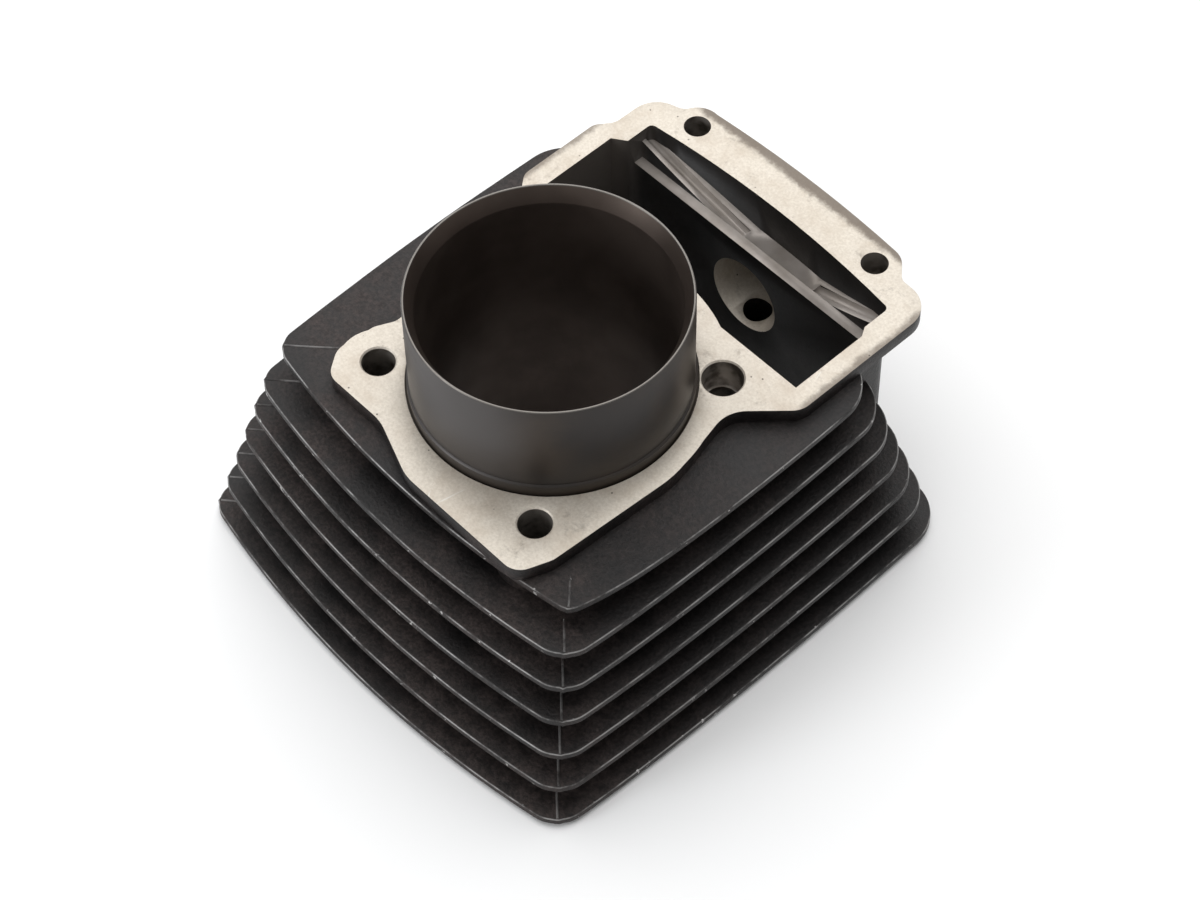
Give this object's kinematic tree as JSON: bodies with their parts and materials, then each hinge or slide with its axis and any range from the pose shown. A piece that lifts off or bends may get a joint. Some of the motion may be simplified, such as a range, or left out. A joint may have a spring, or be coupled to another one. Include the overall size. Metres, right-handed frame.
{
  "type": "air-cooled engine cylinder barrel",
  "caption": "Finned air-cooled cylinder barrel with pressed-in liner spigot, stud holes and a cam chain tunnel.",
  "frame": {"origin": "on the bore's axis, at the cylinder-head face that the barrel lies on", "axes": "+Z along the bore towards the crankcase face and the liner's spigot, +Y from the bore towards the chain tunnel, +X along the tunnel"},
  "size_m": [0.1382, 0.1565, 0.097],
  "materials": {
    "casting": "aluminium casting painted satin black, gasket faces machined bare",
    "liner": "fine-turned dark iron, honed bore"
  },
  "bodies": {
    "root": {"barrel_body": "casting", "cooling_fin_1": "casting", "cooling_fin_2": "casting", "cooling_fin_3": "casting", "cooling_fin_4": "casting", "cooling_fin_5": "casting", "cooling_fin_6": "casting", "cooling_fin_7": "casting", "cylinder_liner": "liner"}
  },
  "joints": []
}
